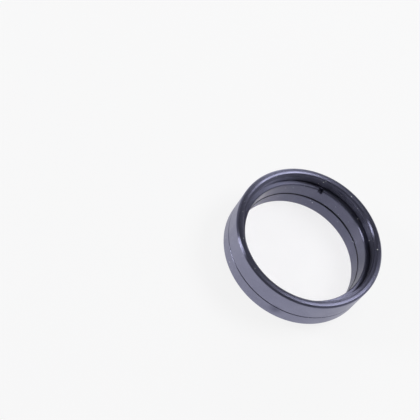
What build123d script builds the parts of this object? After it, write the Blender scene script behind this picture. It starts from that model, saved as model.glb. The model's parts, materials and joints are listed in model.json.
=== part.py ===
from build123d import *
import os

# Two-inch infrared blocking filter: a round glass in a screwed cell of two turned rings
# Millimetres, origin on the axis at the rear end, +Z towards the front

# Filter thread M48 x 0.75, female in front and male at the rear
thread_major_radius = 24.0
thread_pitch = 0.75
female_thread_height = 0.5413 * thread_pitch
male_thread_height = 0.6134 * thread_pitch
relief_depth = 0.1
front_relief_length = 0.6
rear_relief_length = 0.9

# Walls and widths, measured outwards and inwards from the filter thread
front_wall = 2.5
shoulder_width = 1.6
rear_thread_wall = 1.2
joint_wall = 1.5

# Lengths along the axis, from the rear end to the front face
rear_thread_length = 3.7
seat_height = 1.6
glass_thickness = 1.5
split_ring_thickness = 0.4
joint_length = 2.0
bore_wall_height = 4.0
front_thread_length = 4.0

# Glass and split ring
glass_clearance = 0.15
glass_ledge = 0.45
glass_edge_chamfer = 0.2
split_ring_lip = 0.12
split_ring_edge = 0.1
split_ring_clearance = 0.05
split_seat_depth = 0.3
split_gap = 0.5
split_gap_angle = 79.0

# Joint of the two rings: it clamps the glass, so the outer bands stay a little apart
joint_clearance = 0.1
joint_gap = 0.3
joint_end_gap = 0.3
joint_lead = 0.3
joint_edge = 0.12

# Front rim, outer edges and thread ends
rim_chamfer = 0.6
rim_bevel_width = 0.6
rim_bevel_depth = 0.15
thread_lead = 0.8
rear_edge = 0.3
spigot_end_chamfer = 0.5
bore_edge = 0.2
shoulder_edge = 0.3

# Spanner slots across the shoulder
slot_count = 2
slot_start_angle = 90.0
slot_width = 1.75
slot_depth = 1.45

# Radii worked out from the thread
outer_radius = thread_major_radius + front_wall
front_thread_radius = thread_major_radius - female_thread_height
bore_radius = front_thread_radius - shoulder_width
front_relief_radius = thread_major_radius + relief_depth
rear_relief_radius = thread_major_radius - male_thread_height - relief_depth
rear_relief_mouth = thread_major_radius + relief_depth
rear_bore_radius = thread_major_radius - male_thread_height - rear_thread_wall
joint_radius = outer_radius - joint_wall
spigot_radius = joint_radius - joint_clearance
pocket_radius = joint_radius - glass_ledge
glass_radius = pocket_radius - glass_clearance
split_ring_bore = bore_radius - split_ring_lip
split_seat_radius = bore_radius + split_seat_depth
split_ring_radius = split_seat_radius - split_ring_clearance

# Heights above the rear end
rear_shoulder_z = rear_thread_length
seat_z = rear_shoulder_z + seat_height
glass_top_z = seat_z + glass_thickness
split_top_z = glass_top_z + split_ring_thickness
joint_z = split_top_z + joint_length
rear_rim_z = joint_z - joint_gap
shoulder_z = joint_z + bore_wall_height
front_z = shoulder_z + front_thread_length
ledge_z = glass_top_z - joint_end_gap


def circles(part, radius, height):
    """The part's circular edges of this radius at this height."""
    rings = part.edges().filter_by(GeomType.CIRCLE)
    return rings.filter_by(
        lambda edge: abs(edge.radius - radius) < 1e-4 and abs(edge.center().Z - height) < 1e-4
    )


# Front ring: rim, female thread, shoulder, bore wall and the spigot that clamps the glass
# Its end has a small step round the bore, in which the split ring sits
with BuildPart() as front_ring:
    with BuildSketch(Plane.XZ):
        with BuildLine():
            Polyline(
                (bore_radius, split_top_z),
                (split_seat_radius, split_top_z),
                (split_seat_radius, glass_top_z),
                (spigot_radius, glass_top_z),
                (spigot_radius, joint_z),
                (outer_radius, joint_z),
                (outer_radius, front_z),
                (front_thread_radius + thread_lead + rim_bevel_width, front_z),
                (front_thread_radius + thread_lead, front_z - rim_bevel_depth),
                (front_thread_radius, front_z - rim_bevel_depth - thread_lead),
                (front_thread_radius, shoulder_z + front_relief_length),
                (front_relief_radius, shoulder_z + front_relief_length),
                (front_relief_radius, shoulder_z),
                (bore_radius, shoulder_z),
                close=True,
            )
        make_face()
    revolve(axis=Axis.Z)
    chamfer(circles(front_ring, outer_radius, front_z), rim_chamfer)
    chamfer(circles(front_ring, outer_radius, joint_z), joint_edge)
    chamfer(circles(front_ring, spigot_radius, glass_top_z), joint_lead)
    chamfer(circles(front_ring, bore_radius, shoulder_z), shoulder_edge)

    # Slots from the bore to the thread's crest, open at the top
    slot_length = shoulder_width + shoulder_edge
    with BuildSketch(Plane.XY.offset(shoulder_z - slot_depth)):
        with PolarLocations(front_thread_radius - slot_length / 2, slot_count, slot_start_angle):
            Rectangle(slot_length, slot_width)
    extrude(amount=slot_depth, mode=Mode.SUBTRACT)

# Rear ring: joint thread, glass pocket, seat and male filter thread
with BuildPart() as rear_ring:
    with BuildSketch(Plane.XZ):
        with BuildLine():
            Polyline(
                (rear_bore_radius, 0),
                (thread_major_radius, 0),
                (thread_major_radius, rear_shoulder_z - rear_relief_length),
                (rear_relief_radius, rear_shoulder_z - rear_relief_length),
                (rear_relief_radius, rear_shoulder_z - rear_relief_mouth + rear_relief_radius),
                (rear_relief_mouth, rear_shoulder_z),
                (outer_radius, rear_shoulder_z),
                (outer_radius, rear_rim_z),
                (joint_radius, rear_rim_z),
                (joint_radius, ledge_z),
                (pocket_radius, ledge_z),
                (pocket_radius, seat_z),
                (rear_bore_radius, seat_z),
                close=True,
            )
        make_face()
    revolve(axis=Axis.Z)
    chamfer(circles(rear_ring, thread_major_radius, 0), spigot_end_chamfer)
    chamfer(circles(rear_ring, rear_bore_radius, 0), bore_edge)
    chamfer(circles(rear_ring, outer_radius, rear_shoulder_z), rear_edge)
    chamfer(circles(rear_ring, outer_radius, rear_rim_z), joint_edge)
    chamfer(circles(rear_ring, joint_radius, rear_rim_z), joint_lead)

# Glass: a plain disc with bevelled edges, on the seat
with BuildPart() as filter_glass:
    with BuildSketch(Plane.XY.offset(seat_z)):
        Circle(glass_radius)
    extrude(amount=glass_thickness)
    chamfer(filter_glass.edges().filter_by(GeomType.CIRCLE), glass_edge_chamfer)

# Split ring: a thin spring ring on the glass, in the step of the front ring, a little proud of the bore
with BuildPart() as split_ring:
    with BuildSketch(Plane.XY.offset(glass_top_z)):
        Circle(split_ring_radius)
        Circle(split_ring_bore, mode=Mode.SUBTRACT)
    extrude(amount=split_ring_thickness)
    chamfer(circles(split_ring, split_ring_bore, split_top_z), split_ring_edge)
    chamfer(circles(split_ring, split_ring_bore, glass_top_z), split_ring_edge)
    with BuildSketch(Plane.XY.offset(glass_top_z)):
        with PolarLocations((split_ring_radius + split_ring_bore) / 2, 1, split_gap_angle):
            Rectangle(2 * (split_ring_radius - split_ring_bore), split_gap)
    extrude(amount=split_ring_thickness, mode=Mode.SUBTRACT)

os.makedirs("parts", exist_ok=True)

front_ring.part.label = "front_ring"
export_step(front_ring.part, "parts/front_ring.step")

rear_ring.part.label = "rear_ring"
export_step(rear_ring.part, "parts/rear_ring.step")

filter_glass.part.label = "filter_glass"
export_step(filter_glass.part, "parts/filter_glass.step")

split_ring.part.label = "split_ring"
export_step(split_ring.part, "parts/split_ring.step")
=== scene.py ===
import json
import math

import bmesh
import bpy
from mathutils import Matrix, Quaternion, Vector


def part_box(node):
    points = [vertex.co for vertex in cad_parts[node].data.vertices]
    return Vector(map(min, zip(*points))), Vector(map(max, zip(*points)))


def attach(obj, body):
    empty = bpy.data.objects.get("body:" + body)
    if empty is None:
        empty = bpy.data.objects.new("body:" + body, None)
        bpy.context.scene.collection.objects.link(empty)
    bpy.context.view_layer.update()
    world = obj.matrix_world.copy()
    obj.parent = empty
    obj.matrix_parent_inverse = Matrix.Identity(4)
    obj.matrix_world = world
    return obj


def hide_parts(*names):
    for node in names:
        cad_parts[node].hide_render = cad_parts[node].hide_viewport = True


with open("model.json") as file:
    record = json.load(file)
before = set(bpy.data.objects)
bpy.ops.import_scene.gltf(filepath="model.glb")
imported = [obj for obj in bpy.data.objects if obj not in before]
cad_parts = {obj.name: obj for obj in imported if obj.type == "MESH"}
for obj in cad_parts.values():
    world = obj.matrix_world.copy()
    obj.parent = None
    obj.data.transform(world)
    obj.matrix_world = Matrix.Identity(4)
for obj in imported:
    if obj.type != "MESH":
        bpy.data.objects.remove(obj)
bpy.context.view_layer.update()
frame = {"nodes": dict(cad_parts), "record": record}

# Two-inch infrared blocking filter: threaded rings, glass and their finishes, in metres
MM = 0.001
TURN = 2 * math.pi

# Sizes that the frame gives
front_low, front_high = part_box("front_ring")
rear_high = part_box("rear_ring")[1]
glass_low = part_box("filter_glass")[0]
split_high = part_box("split_ring")[1]
mounts = {mount["name"]: mount for mount in frame["record"]["mounts"]}
OUTER = front_high.x
FRONT_Z = front_high.z
SPIGOT_Z = front_low.z
REAR_RIM_Z = rear_high.z
SEAT_Z = glass_low.z
SPLIT_Z = split_high.z
MAJOR = mounts["rear_thread"]["dims"]["r_mm"] * MM
MINOR = mounts["front_thread"]["dims"]["r_mm"] * MM

# Filter thread, M48 x 0.75, right-handed
PITCH = 0.75 * MM
FEMALE_HEIGHT = MAJOR - MINOR
MALE_HEIGHT = 0.6134 * PITCH
FRONT_START = 0.4
REAR_START = 0.0
RELIEF = 0.1 * MM

# Widths of the thread's crests and flanks in pitches, and of half the male root in flanks
FEMALE_CREST = 1 / 4
MALE_CREST = 1 / 8
FLANK = 5 / 16
HALF_ROOT = 0.4

# Heights and radii of the front ring
JOINT_Z = REAR_RIM_Z + 0.3 * MM
SHOULDER_Z = FRONT_Z - 4.0 * MM
FRONT_THREAD_LOW = SHOULDER_Z + 0.6 * MM
LEAD_TOP = FRONT_Z - 0.15 * MM
LEAD = 0.8 * MM
BEVEL_WIDTH = 0.6 * MM
RIM_CHAMFER = 0.6 * MM
BORE = MINOR - 1.6 * MM
SPLIT_SEAT = BORE + 0.3 * MM
SHOULDER_EDGE = 0.3 * MM
SLOT_WIDTH = 1.75 * MM
SLOT_FLOOR = SHOULDER_Z - 1.45 * MM
SLOT_ANGLES = (0.25 * TURN, 0.75 * TURN)
SPIGOT = OUTER - 1.6 * MM
JOINT = OUTER - 1.5 * MM
JOINT_EDGE = 0.12 * MM
JOINT_LEAD = 0.3 * MM

# Heights and radii of the rear ring
REAR_SHOULDER_Z = SEAT_Z - 1.6 * MM
REAR_THREAD_HIGH = REAR_SHOULDER_Z - 0.9 * MM
REAR_RELIEF = MAJOR - MALE_HEIGHT - RELIEF
REAR_BORE = MAJOR - MALE_HEIGHT - 1.2 * MM
REAR_END_CHAMFER = 0.5 * MM
REAR_EDGE = 0.3 * MM
BORE_EDGE = 0.2 * MM
POCKET = JOINT - 0.45 * MM
LEDGE_Z = SPIGOT_Z - 0.3 * MM

# Fineness of the turned meshes, in which points a hair apart count as one
COLUMNS = 360
ROWS_PER_PITCH = 16
ARC_STEPS = 4
EDGE = 0.06 * MM
HAIR = 1e-7
SMOOTH_BELOW = math.radians(32)

# Anodised finish: colours, with a lighter colour on the outer band that is a painted reflection of the
# bright floor around it, the depths of that band, sizes of its marks, and the ranges that the noise is
# spread over
INSIDE_COLOUR = (0.135, 0.137, 0.2, 1)
# Painted reflection: the lighter colour of the outer band stands in for the bright floor that it
# reflects
PAINTED_SHEEN_COLOUR = (0.235, 0.237, 0.335, 1)
PAINTED_SHEEN_DEPTHS = (0.2 * MM, 0.05 * MM)
MARK_SIZE = 0.35 * MM
MARK_HEIGHT = 0.02 * MM
GRAIN_SIZE = 0.25 * MM
BLOTCH_SIZE = 5 * MM
NOISE_MIDDLE = (0.3, 0.7)
MOTTLE = (0.85, 1.15)
METAL_ROUGHNESS = (0.28, 0.36)
METALLIC = 0.95

# Dust: a small speck in each cell of space, its radius as a share of the cell, and larger specks
DUST_COLOUR = (0.75, 0.76, 0.78, 1)
DUST_CELL = 2 * MM
DUST_SHARE = 0.055
SPECK_RADIUS = 0.2 * MM

# Places of the larger specks as (degrees, radius, height) in millimetres
SPECKS = (
    (89.0, 22.34, 3.9),
    (91.6, 23.6, 16.2),
    (94.3, 23.9, 14.3),
    (65.7, 24.6, 17.0),
    (48.7, 23.6, 13.2),
    (26.4, 23.7, 14.1),
    (14.7, 24.7, 17.1),
    (216.0, 26.5, 6.0),
)

# Rubbed patch on the outer band: angle in degrees, drop from the joint line, and reach from full to none
SCUFF_ANGLE = 265.0
SCUFF_DROP = 1.0 * MM
SCUFF_REACH = (0.5 * MM, 3 * MM)
SCUFF_ROUGHNESS = 0.6

# World: its colour, the heights between which it grows dimmer, and how bright it is below and above
SKY_COLOUR = (0.97, 0.97, 1.0, 1)
SKY_HEIGHTS = (0.05, 0.4)
SKY_STRENGTHS = (1.0, 0.1)

# Lamps: name, azimuth, elevation and half the angle that each fills in degrees, and strength
LAMPS = (
    ("back_right", 33, 60, 14, 6.0),
    ("back_left", 100, 15, 12, 4.0),
    ("left", 191, 28, 8, 11.0),
    ("top", 200, 82, 12, 1.0),
)
LAMP_DISTANCE = 0.7

# Floor: half its width, the size of its fibres and how much of what is seen of it is even white
FLOOR_REACH = 10.0
FIBRE_SIZE = 1 / 60
FLOOR_WHITE = 0.85

# Camera: place, turn as a quaternion, lens and sensor in millimetres
CAMERA_PLACE = (-0.08342, -0.22901, 0.34113)
CAMERA_TURN = (0.936162, 0.276382, -0.118743, 0.181971)
CAMERA_LENS = 102.86
CAMERA_SENSOR = 36.0


def around(angle, radius, height):
    """The point at this angle about the axis, this far from it and at this height."""
    return radius * math.cos(angle), radius * math.sin(angle), height


def rounded(corners):
    """Points of an open outline whose (r, z, radius) corners are turned into short arcs."""
    points = []
    for k, (r, z, radius) in enumerate(corners):
        here = Vector((r, z))
        if radius == 0 or k in (0, len(corners) - 1):
            points.append(here)
            continue
        back = (Vector(corners[k - 1][:2]) - here).normalized()
        ahead = (Vector(corners[k + 1][:2]) - here).normalized()
        half = back.angle(ahead) / 2
        centre = here + (back + ahead).normalized() * radius / math.sin(half)
        start = here + back * radius / math.tan(half) - centre
        turn = math.pi - 2 * half
        if start.x * ahead.y - start.y * ahead.x < 0:
            turn = -turn
        for step in range(ARC_STEPS + 1):
            angle = turn * step / ARC_STEPS
            spoke = Vector((
                start.x * math.cos(angle) - start.y * math.sin(angle),
                start.x * math.sin(angle) + start.y * math.cos(angle),
            ))
            points.append(centre + spoke)
    return points


def plain_rows(corners):
    """Rows of a turned outline that are the same all round."""
    return [lambda angle, point=point: (point.x, point.y) for point in rounded(corners)]


def thread_rows(low, high, radius_at):
    """Rows between two heights that climb one pitch in a turn, so that they run along the thread."""
    step = PITCH / ROWS_PER_PITCH
    count = math.ceil((high - low) / step) + ROWS_PER_PITCH

    def row(k):
        def at(angle):
            climbed = low + (k - ROWS_PER_PITCH) * step + PITCH * angle / TURN
            z = min(max(climbed, low), high)
            return radius_at(z, angle), z
        return at

    return [row(k) for k in range(count + 1)]


def thread_share(z, angle, start, crest):
    """How far down the thread's flank a point lies: 0 on the crest, 1 at the root's edge."""
    from_crest = abs((z / PITCH - angle / TURN - start + 0.5) % 1 - 0.5)
    return (from_crest - crest / 2) / FLANK


def female_radius(z, angle):
    """Radius of the front thread, which fades out into its lead-in chamfer."""
    share = min(max(thread_share(z, angle, FRONT_START, FEMALE_CREST), 0), 1)
    return max(MINOR + FEMALE_HEIGHT * share, MINOR + z - LEAD_TOP + LEAD)


def male_radius(z, angle):
    """Radius of the rear thread, with a round root, which fades out into its end chamfer."""
    share = thread_share(z, angle, REAR_START, MALE_CREST)
    depth = FEMALE_HEIGHT * min(max(share, 0), 1)
    if share > 1:
        into_root = min((share - 1) / HALF_ROOT, 1)
        depth += (MALE_HEIGHT - FEMALE_HEIGHT) * math.sin(math.pi / 2 * into_root)
    return min(MAJOR - depth, MAJOR - REAR_END_CHAMFER + z)


def turned_columns(slots=()):
    """Columns of a turned mesh as (angle, offset, cut), with five straight ones across each slot."""
    step = TURN / COLUMNS
    half = SLOT_WIDTH / 2
    columns = []
    for k in range(COLUMNS + 1):
        angle = k * step
        if all(abs(angle - slot) * BORE > half + step * BORE for slot in slots):
            columns.append((angle, 0.0, False))
    for slot in slots:
        # A slot's side is an uncut column and a cut one at the same place, which the sort keeps in order
        columns.append((slot, -half, False))
        for offset in (-half, -half / 2, 0.0, half / 2, half):
            columns.append((slot, offset, True))
        columns.append((slot, half, False))
    columns.sort(key=lambda column: column[0] + column[1] / BORE)
    return columns


def cut_slot(r, z):
    """Where a point of the shoulder goes inside a slot: down to its floor."""
    if r < MINOR - HAIR and SLOT_FLOOR < z <= SHOULDER_Z + HAIR:
        return r, SLOT_FLOOR
    return r, z


def lathe(name, rows, columns):
    """A closed mesh of rows turned about the axis, with what folds flat removed."""
    bm = bmesh.new()
    grid = []
    for angle, offset, cut in columns:
        line = []
        for row in rows:
            r, z = row(angle)
            if cut:
                r, z = cut_slot(r, z)
            line.append(bm.verts.new(around(angle + math.asin(offset / r), r, z)))
        grid.append(line)
    for left, right in zip(grid, grid[1:]):
        for k in range(len(rows)):
            after = (k + 1) % len(rows)
            bm.faces.new((left[k], right[k], right[after], left[after]))
    bmesh.ops.remove_doubles(bm, verts=bm.verts, dist=2 * HAIR)
    bmesh.ops.dissolve_degenerate(bm, edges=bm.edges, dist=HAIR)
    bmesh.ops.recalc_face_normals(bm, faces=bm.faces)
    mesh = bpy.data.meshes.new(name)
    bm.to_mesh(mesh)
    bm.free()
    mesh.shade_smooth()
    mesh.set_sharp_from_angle(angle=SMOOTH_BELOW)
    piece = bpy.data.objects.new(name, mesh)
    bpy.context.scene.collection.objects.link(piece)
    weighted = piece.modifiers.new("even shading", "WEIGHTED_NORMAL")
    weighted.keep_sharp = True
    return piece


def front_ring_rows():
    """The front ring's outline, from the bore's lower end outwards, up and back down the inside."""
    outside = plain_rows([
        (BORE, SPLIT_Z + 2 * EDGE, 0),
        (BORE, SPLIT_Z, EDGE),
        (SPLIT_SEAT, SPLIT_Z, 0),
        (SPLIT_SEAT, SPIGOT_Z, 0),
        (SPIGOT - JOINT_LEAD, SPIGOT_Z, 0),
        (SPIGOT, SPIGOT_Z + JOINT_LEAD, 0),
        (SPIGOT, JOINT_Z, 0),
        (OUTER - JOINT_EDGE, JOINT_Z, EDGE),
        (OUTER, JOINT_Z + JOINT_EDGE, EDGE),
        (OUTER, FRONT_Z - RIM_CHAMFER, 2 * EDGE),
        (OUTER - RIM_CHAMFER, FRONT_Z, 2 * EDGE),
        (MINOR + LEAD + BEVEL_WIDTH, FRONT_Z, 2 * EDGE),
        (MINOR + LEAD, LEAD_TOP, EDGE),
        (MAJOR + EDGE, LEAD_TOP - MINOR - LEAD + MAJOR + EDGE, 0),
    ])
    thread = thread_rows(FRONT_THREAD_LOW, LEAD_TOP - LEAD + MAJOR - MINOR + EDGE, female_radius)
    inside = plain_rows([
        (MAJOR + RELIEF, FRONT_THREAD_LOW, 0),
        (MAJOR + RELIEF, SHOULDER_Z, 0),
        (MINOR, SHOULDER_Z, 0),
        (MINOR - 2 * HAIR, SHOULDER_Z, 0),
        (BORE + SHOULDER_EDGE, SHOULDER_Z, EDGE),
        (BORE, SHOULDER_Z - SHOULDER_EDGE, EDGE),
        (BORE, SLOT_FLOOR, 0),
    ])
    return outside + thread[::-1] + inside


def rear_ring_rows():
    """The rear ring's outline, from the rear bore's edge outwards, up and back down the inside."""
    end = plain_rows([
        (REAR_BORE, BORE_EDGE, 0),
        (REAR_BORE + BORE_EDGE, 0, 0),
    ])
    thread = thread_rows(0, REAR_THREAD_HIGH, male_radius)
    outside = plain_rows([
        (REAR_RELIEF, REAR_THREAD_HIGH, 0),
        (REAR_RELIEF, REAR_SHOULDER_Z - MAJOR - RELIEF + REAR_RELIEF, EDGE),
        (MAJOR + RELIEF, REAR_SHOULDER_Z, EDGE),
        (OUTER - REAR_EDGE, REAR_SHOULDER_Z, 2 * EDGE),
        (OUTER, REAR_SHOULDER_Z + REAR_EDGE, 2 * EDGE),
        (OUTER, REAR_RIM_Z - JOINT_EDGE, EDGE),
        (OUTER - JOINT_EDGE, REAR_RIM_Z, EDGE),
        (JOINT + JOINT_LEAD, REAR_RIM_Z, 0),
        (JOINT, REAR_RIM_Z - JOINT_LEAD, 0),
        (JOINT, LEDGE_Z, 0),
        (POCKET, LEDGE_Z, 0),
        (POCKET, SEAT_Z, 0),
        (REAR_BORE, SEAT_Z, EDGE),
        (REAR_BORE, BORE_EDGE + 2 * EDGE, 0),
    ])
    return end + thread + outside


def new_material(name):
    """A material that has no nodes yet, and its node tree."""
    material = bpy.data.materials.new(name)
    material.use_nodes = True
    material.node_tree.nodes.clear()
    return material, material.node_tree


def node(tree, kind, inputs=None, **settings):
    """A shader node with its settings, and its inputs given as values or as other nodes' outputs."""
    made = tree.nodes.new("ShaderNode" + kind)
    for key, value in settings.items():
        setattr(made, key, value)
    for key, value in (inputs or {}).items():
        if isinstance(value, bpy.types.NodeSocket):
            tree.links.new(value, made.inputs[key])
        else:
            made.inputs[key].default_value = value
    return made


def worked_out(tree, operation, *values):
    """The result of a Math node on these values."""
    return node(tree, "Math", dict(enumerate(values)), operation=operation).outputs[0]


def noise(tree, place, size, detail, roughness=0.5):
    """Noise whose coarsest features are about this size."""
    inputs = {"Vector": place, "Scale": 1 / size, "Detail": detail, "Roughness": roughness}
    return node(tree, "TexNoise", inputs).outputs["Fac"]


def ramp(tree, value, source, target=(0.0, 1.0), **settings):
    """A value carried over from one range to another and held at its ends."""
    inputs = {0: value, 1: source[0], 2: source[1], 3: target[0], 4: target[1]}
    return node(tree, "MapRange", inputs, **settings).outputs[0]


def blended(tree, share, first, second):
    """The first colour where the share is 0, the second where it is 1, and a blend between."""
    return node(tree, "Mix", {0: share, 6: first, 7: second}, data_type="RGBA").outputs[2]


def distance(tree, place, spot):
    """How far the place is from a fixed spot."""
    return node(tree, "VectorMath", {0: place, 1: spot}, operation="DISTANCE").outputs["Value"]


def dust(tree, place):
    """1 on specks of dust, both the small ones all over and the larger ones, 0 elsewhere."""
    cells = node(tree, "TexVoronoi", {"Vector": place, "Scale": 1 / DUST_CELL, "Randomness": 1.0})
    total = worked_out(tree, "LESS_THAN", cells.outputs["Distance"], DUST_SHARE)
    for degrees, radius, height in SPECKS:
        spot = around(math.radians(degrees), radius * MM, height * MM)
        near = worked_out(tree, "LESS_THAN", distance(tree, place, spot), SPECK_RADIUS)
        total = worked_out(tree, "MAXIMUM", near, total)
    return total


def metal_roughness(tree, place, grain):
    """Roughness that varies in wide blotches and rises on a rubbed patch below the joint line."""
    blotches = noise(tree, place, BLOTCH_SIZE, 3.0)
    even = ramp(tree, blotches, NOISE_MIDDLE, METAL_ROUGHNESS)
    scuff = around(math.radians(SCUFF_ANGLE), OUTER, REAR_RIM_Z - SCUFF_DROP)
    close = ramp(tree, distance(tree, place, scuff), SCUFF_REACH, (1.0, 0.0))
    rubbed = worked_out(tree, "MULTIPLY", close, grain)
    return worked_out(tree, "MULTIPLY_ADD", rubbed, SCUFF_ROUGHNESS, even)


def anodised():
    """Satin black anodising over turned aluminium, with a painted reflection that makes the outer band
    lighter, with dust and a scuff.
    """
    material, tree = new_material("black_anodised_aluminium")
    place = node(tree, "TexCoord").outputs["Object"]
    flat = node(tree, "VectorMath", {0: place, 1: (1, 1, 0)}, operation="MULTIPLY").outputs[0]
    radius = node(tree, "VectorMath", {0: flat}, operation="LENGTH").outputs["Value"]
    height = node(tree, "SeparateXYZ", {0: place}).outputs["Z"]
    grain = noise(tree, place, GRAIN_SIZE, 2.0)

    # Fine turning marks run round the axis
    section = node(tree, "CombineXYZ", {0: radius, 1: height}).outputs[0]
    marks = noise(tree, section, MARK_SIZE, 3.0, 0.7)
    bump = node(tree, "Bump", {"Strength": 0.2, "Distance": MARK_HEIGHT, "Height": marks})

    # Painted reflection: the outer band is coloured a little lighter than the rest, standing in for the
    # brighter floor that it reflects
    band = tuple(OUTER - depth for depth in PAINTED_SHEEN_DEPTHS)
    metal = blended(tree, ramp(tree, radius, band), INSIDE_COLOUR, PAINTED_SHEEN_COLOUR)
    mottle = ramp(tree, grain, NOISE_MIDDLE, MOTTLE)
    metal = node(tree, "VectorMath", {0: metal, 3: mottle}, operation="SCALE").outputs[0]

    specks = dust(tree, place)
    shader = node(tree, "BsdfPrincipled", {
        "Base Color": blended(tree, specks, metal, DUST_COLOUR),
        "Metallic": ramp(tree, specks, (0.0, 1.0), (METALLIC, 0.0)),
        "Roughness": metal_roughness(tree, place, grain),
        "Anisotropic": 0.8,
        "Anisotropic Rotation": 0.25,
        "Tangent": node(tree, "Tangent", direction_type="RADIAL", axis="Z").outputs[0],
        "Normal": bump.outputs[0],
    })
    node(tree, "OutputMaterial", {"Surface": shader.outputs[0]})
    return material


def blackened_steel():
    """Matt black spring steel of the split ring."""
    material, tree = new_material("blackened_steel")
    place = node(tree, "TexCoord").outputs["Object"]
    grain = noise(tree, place, 0.2 * MM, 2.0)
    bump = node(tree, "Bump", {"Strength": 0.3, "Distance": 0.01 * MM, "Height": grain})
    shader = node(tree, "BsdfPrincipled", {
        "Base Color": (0.012, 0.012, 0.016, 1),
        "Metallic": 0.6,
        "Roughness": 0.5,
        "Normal": bump.outputs[0],
    })
    node(tree, "OutputMaterial", {"Surface": shader.outputs[0]})
    return material


def coated_glass():
    """Clear glass with an interference coating, which lets the light through to the floor."""
    material, tree = new_material("coated_filter_glass")
    shader = node(tree, "BsdfPrincipled", {
        "Base Color": (1.0, 0.99, 1.0, 1),
        "Roughness": 0.0,
        "IOR": 1.52,
        "Transmission Weight": 1.0,
        "Thin Film Thickness": 110.0,
        "Thin Film IOR": 1.38,
    })
    through = node(tree, "BsdfTransparent", {"Color": (0.95, 0.95, 0.97, 1)})
    shadow_ray = node(tree, "LightPath").outputs["Is Shadow Ray"]
    mixed = node(tree, "MixShader", {0: shadow_ray, 1: shader.outputs[0], 2: through.outputs[0]})
    node(tree, "OutputMaterial", {"Surface": mixed.outputs[0]})
    return material


def seen_ray(tree):
    """1 for the rays by which the camera, metal and glass see a surface, 0 for those that light it."""
    path = node(tree, "LightPath")
    total = path.outputs["Is Camera Ray"]
    for name in ("Is Glossy Ray", "Is Transmission Ray"):
        total = worked_out(tree, "MAXIMUM", total, path.outputs[name])
    return total


def floor_material():
    """Slightly uneven pale paper that is seen as nearly white, so that the shadow on it is faint."""
    material, tree = new_material("pale_floor")
    place = node(tree, "TexCoord").outputs["Object"]
    fibre = noise(tree, place, FIBRE_SIZE, 4.0)
    colour = blended(tree, fibre, (0.9, 0.9, 0.93, 1), (0.94, 0.94, 0.96, 1))
    lit = node(tree, "BsdfPrincipled", {"Base Color": colour, "Roughness": 0.8})
    glow = node(tree, "Emission", {"Color": (1, 1, 1, 1), "Strength": 1.0})
    share = worked_out(tree, "MULTIPLY", seen_ray(tree), FLOOR_WHITE)
    mixed = node(tree, "MixShader", {0: share, 1: lit.outputs[0], 2: glow.outputs[0]})
    node(tree, "OutputMaterial", {"Surface": mixed.outputs[0]})
    return material


def build_part():
    """The filter's pieces: turned rings on the CAD body in place of the CAD rings, and the CAD split
    ring and glass with their finishes.
    """
    metal = anodised()
    rings = (
        ("front_ring", front_ring_rows(), turned_columns(SLOT_ANGLES)),
        ("rear_ring", rear_ring_rows(), turned_columns()),
    )
    for cad_node, rows, columns in rings:
        piece = lathe("turned_" + cad_node, rows, columns)
        piece.data.materials.append(metal)
        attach(piece, "root")
        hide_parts(cad_node)
    finishes = (
        ("split_ring", blackened_steel(), "blackened_steel"),
        ("filter_glass", coated_glass(), "filter_glass"),
    )
    for cad_node, material, slot in finishes:
        piece = frame["nodes"][cad_node]
        piece.data.materials.clear()
        piece.data.materials.append(material)


def build_floor():
    """The pale floor that the filter lies on."""
    mesh = bpy.data.meshes.new("floor")
    signs = ((-1, -1), (1, -1), (1, 1), (-1, 1))
    mesh.from_pydata([(x * FLOOR_REACH, y * FLOOR_REACH, 0) for x, y in signs], [], [(0, 1, 2, 3)])
    mesh.materials.append(floor_material())
    floor = bpy.data.objects.new("floor", mesh)
    bpy.context.scene.collection.objects.link(floor)


def build_world():
    """The pale world, which is bright near the horizon and dim overhead."""
    world = bpy.data.worlds.new("studio")
    bpy.context.scene.world = world
    world.use_nodes = True
    tree = world.node_tree
    tree.nodes.clear()
    direction = node(tree, "TexCoord").outputs["Generated"]
    up = node(tree, "SeparateXYZ", {0: direction}).outputs["Z"]
    strength = ramp(tree, up, SKY_HEIGHTS, SKY_STRENGTHS, interpolation_type="SMOOTHSTEP")
    sky = node(tree, "Background", {"Color": SKY_COLOUR, "Strength": strength})
    node(tree, "OutputWorld", {"Surface": sky.outputs[0]})


def build_lamps():
    """Round soft lamps that face the filter and that the camera doesn't see."""
    for name, azimuth, elevation, spread, radiance in LAMPS:
        radius = LAMP_DISTANCE * math.tan(math.radians(spread))
        rise = math.radians(elevation)
        spot = LAMP_DISTANCE * Vector(around(math.radians(azimuth), math.cos(rise), math.sin(rise)))
        light = bpy.data.lights.new(name, "AREA")
        light.shape = "DISK"
        light.size = 2 * radius
        light.energy = radiance * math.pi * math.pi * radius ** 2
        lamp = bpy.data.objects.new(name, light)
        bpy.context.scene.collection.objects.link(lamp)
        lamp.location = spot
        lamp.rotation_mode = "QUATERNION"
        lamp.rotation_quaternion = (-spot).to_track_quat("-Z", "Y")
        lamp.visible_camera = False


def build_camera():
    """The photograph's view, looking down on the ring with the camera turned about its own axis."""
    data = bpy.data.cameras.new("camera")
    data.sensor_width = CAMERA_SENSOR
    data.lens = CAMERA_LENS
    camera = bpy.data.objects.new("camera", data)
    bpy.context.scene.collection.objects.link(camera)
    camera.location = CAMERA_PLACE
    camera.rotation_mode = "QUATERNION"
    camera.rotation_quaternion = Quaternion(CAMERA_TURN)
    bpy.context.scene.camera = camera


build_part()
build_floor()
build_world()
build_lamps()
build_camera()
bpy.context.scene.view_settings.view_transform = "Standard"
